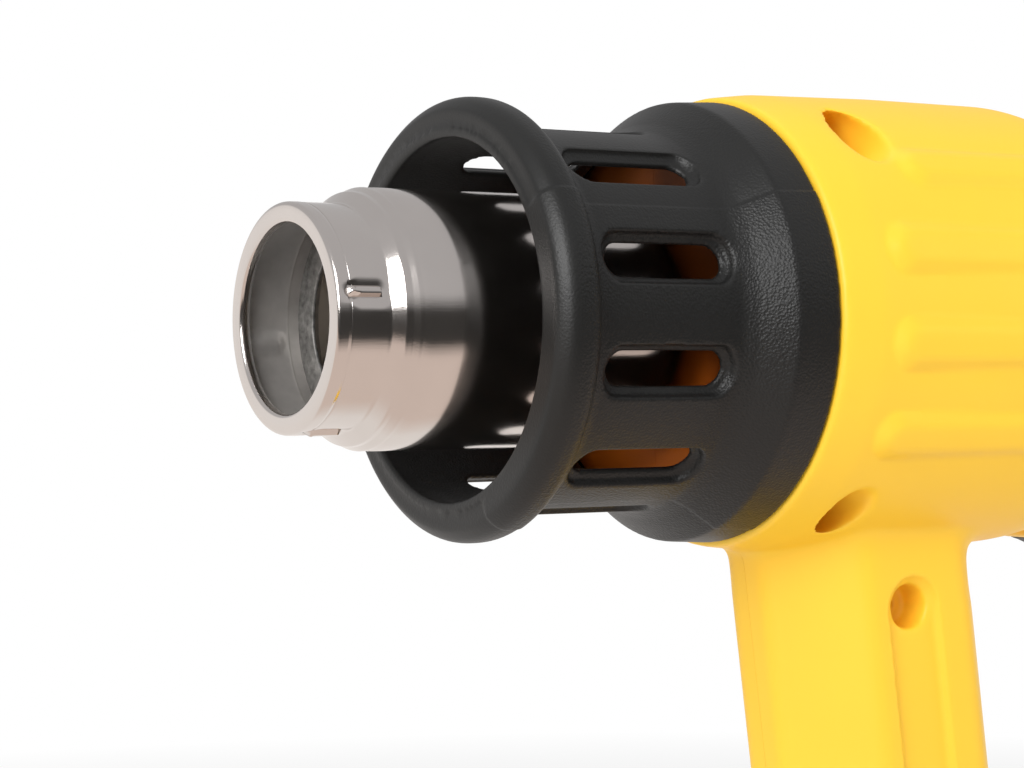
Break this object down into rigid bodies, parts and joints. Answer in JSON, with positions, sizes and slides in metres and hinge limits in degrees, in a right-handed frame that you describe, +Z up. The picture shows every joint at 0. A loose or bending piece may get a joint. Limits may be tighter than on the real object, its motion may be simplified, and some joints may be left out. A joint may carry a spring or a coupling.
{
  "type": "hot air tool",
  "caption": "Pistol grip hot air tool: steel outlet tube in a slotted black guard, yellow clamshell body and handle, vented rear cap with a temperature dial, rocker switch.",
  "frame": {"origin": "bottom centre of the bounding box: on the plane of the handle's flat base, under the middle of the tool's length, in its left-right middle plane", "axes": "+X back along the air axis, away from the outlet, so the outlet points to -X; +Z up, with the handle hanging down; -Y is the side that the picture shows"},
  "size_m": [0.193, 0.077, 0.1873],
  "materials": {
    "yellow_plastic": "satin moulded yellow housing plastic",
    "black_plastic": "fine grained heat resistant black plastic",
    "polished_steel": "polished stainless steel outlet",
    "inner_steel": "plain sheet steel",
    "screw_steel": "zinc plated screw",
    "ceramic": "unglazed ceramic",
    "mica": "pressed mica",
    "heating_wire": "oxidised heating wire",
    "dark_nylon": "glass filled dark nylon",
    "magnet": "ferrite magnet",
    "board_laminate": "green board laminate",
    "component_black": "black component body",
    "heat_sink_aluminium": "extruded aluminium",
    "spindle_nylon": "natural nylon",
    "rocker_red": "red switch rocker",
    "gland_rubber": "soft black rubber",
    "lead_red": "red lead insulation",
    "lead_blue": "blue lead insulation",
    "lead_black": "black lead insulation"
  },
  "bodies": {
    "tool": {"nozzle_tube": "polished_steel", "nozzle_sleeve": "inner_steel", "mica_tube": "mica", "heater_former": "ceramic", "heater_coil": "heating_wire", "heater_spider": "mica", "thermal_cutout": "inner_steel", "nozzle_guard": "black_plastic", "housing_left": "yellow_plastic", "housing_right": "yellow_plastic", "housing_screw_front_top": "screw_steel", "housing_screw_front_bottom": "screw_steel", "housing_screw_rear_top": "screw_steel", "housing_screw_grip_top": "screw_steel", "housing_screw_grip_bottom": "screw_steel", "air_duct": "dark_nylon", "motor_can": "inner_steel", "motor_end_bell": "dark_nylon", "motor_magnet_upper": "magnet", "motor_magnet_lower": "magnet", "motor_cradle": "dark_nylon", "motor_screw_left": "screw_steel", "motor_screw_right": "screw_steel", "rear_cap": "black_plastic", "circuit_board": "board_laminate", "board_screw_lower": "screw_steel", "board_screw_upper": "screw_steel", "capacitor": "component_black", "heat_sink": "heat_sink_aluminium", "triac": "component_black", "rectifier": "component_black", "potentiometer": "inner_steel", "switch_body": "black_plastic", "cord_gland": "gland_rubber", "cord_clamp": "dark_nylon", "clamp_screw_front": "screw_steel", "clamp_screw_back": "screw_steel", "heater_lead_left": "lead_red", "heater_lead_right": "lead_red", "board_lead_left": "lead_blue", "board_lead_right": "lead_blue", "motor_lead_left": "lead_black", "motor_lead_right": "lead_black"},
    "fan": {"motor_rotor": "inner_steel", "fan_impeller": "dark_nylon"},
    "dial": {"dial_spindle": "spindle_nylon", "temperature_dial": "black_plastic"},
    "rocker": {"switch_rocker": "rocker_red"}
  },
  "joints": [
    {"name": "fan_spin", "type": "hinge", "parent": "tool", "child": "fan", "pos_m": [0.0235, 0, 0.15], "axis": [1, 0, 0], "continuous": true},
    {"name": "dial_turn", "type": "hinge", "parent": "tool", "child": "dial", "pos_m": [0.0935, 0, 0.15], "axis": [1, 0, 0], "range_deg": [-135, 135]},
    {"name": "switch_rock", "type": "hinge", "parent": "tool", "child": "rocker", "pos_m": [0.02771, 0, 0.06557], "axis": [0, 1, 0], "range_deg": [-10, 10]}
  ]
}
